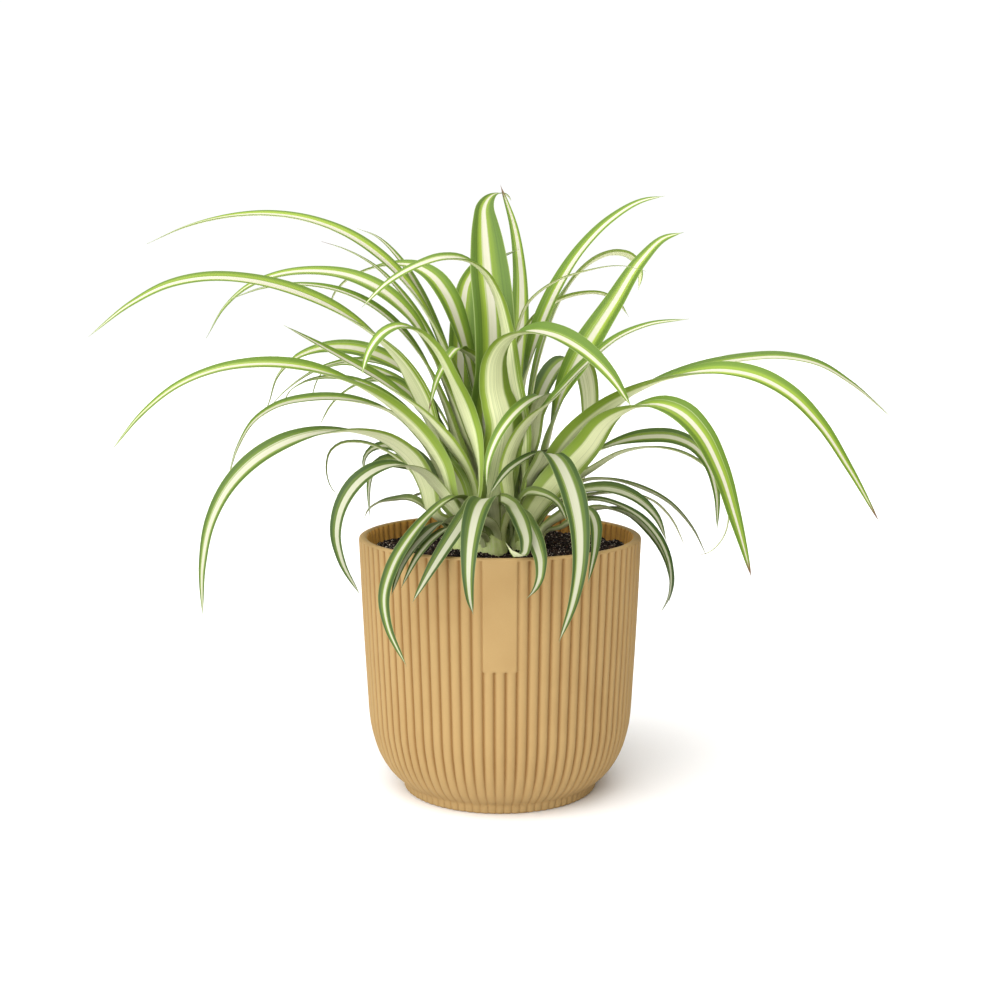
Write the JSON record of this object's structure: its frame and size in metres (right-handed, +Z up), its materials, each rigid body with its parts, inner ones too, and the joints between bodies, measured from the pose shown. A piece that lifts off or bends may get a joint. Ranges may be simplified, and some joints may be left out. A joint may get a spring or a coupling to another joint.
{
  "type": "potted spider plant",
  "caption": "Spider plant with long arching striped leaves that spread from the middle of a round, upright-ribbed plastic pot filled with potting soil.",
  "frame": {"origin": "middle of the pot's flat underside", "axes": "+Z up; -Y towards the viewer of the picture, the side with the plain panel; +X to that viewer's right"},
  "size_m": [0.5005, 0.3041, 0.3981],
  "materials": {
    "pot": "matte",
    "soil": "matte",
    "crown": "satin",
    "leaf": "satin"
  },
  "bodies": {
    "root": {"pot": "pot", "soil": "soil", "crown_front": "crown", "crown_left": "crown", "crown_right": "crown", "crown_back": "crown", "leaf_centre_01": "leaf", "leaf_centre_02": "leaf", "leaf_centre_03": "leaf", "leaf_front_01": "leaf", "leaf_front_02": "leaf", "leaf_front_03": "leaf", "leaf_front_04": "leaf", "leaf_front_05": "leaf", "leaf_front_06": "leaf", "leaf_front_07": "leaf", "leaf_front_08": "leaf", "leaf_front_09": "leaf", "leaf_left_01": "leaf", "leaf_left_02": "leaf", "leaf_left_03": "leaf", "leaf_left_04": "leaf", "leaf_left_05": "leaf", "leaf_left_06": "leaf", "leaf_left_07": "leaf", "leaf_left_08": "leaf", "leaf_left_09": "leaf", "leaf_left_10": "leaf", "leaf_left_11": "leaf", "leaf_left_12": "leaf", "leaf_left_13": "leaf", "leaf_left_14": "leaf", "leaf_left_15": "leaf", "leaf_left_16": "leaf", "leaf_left_17": "leaf", "leaf_left_18": "leaf", "leaf_left_19": "leaf", "leaf_left_20": "leaf", "leaf_left_21": "leaf", "leaf_left_22": "leaf", "leaf_right_01": "leaf", "leaf_right_02": "leaf", "leaf_right_03": "leaf", "leaf_right_04": "leaf", "leaf_right_05": "leaf", "leaf_right_06": "leaf", "leaf_right_07": "leaf", "leaf_right_08": "leaf", "leaf_right_09": "leaf", "leaf_right_10": "leaf", "leaf_right_11": "leaf", "leaf_right_12": "leaf", "leaf_right_13": "leaf", "leaf_right_14": "leaf", "leaf_right_15": "leaf", "leaf_right_16": "leaf", "leaf_right_17": "leaf", "leaf_right_18": "leaf", "leaf_right_19": "leaf", "leaf_right_20": "leaf"}
  },
  "joints": []
}
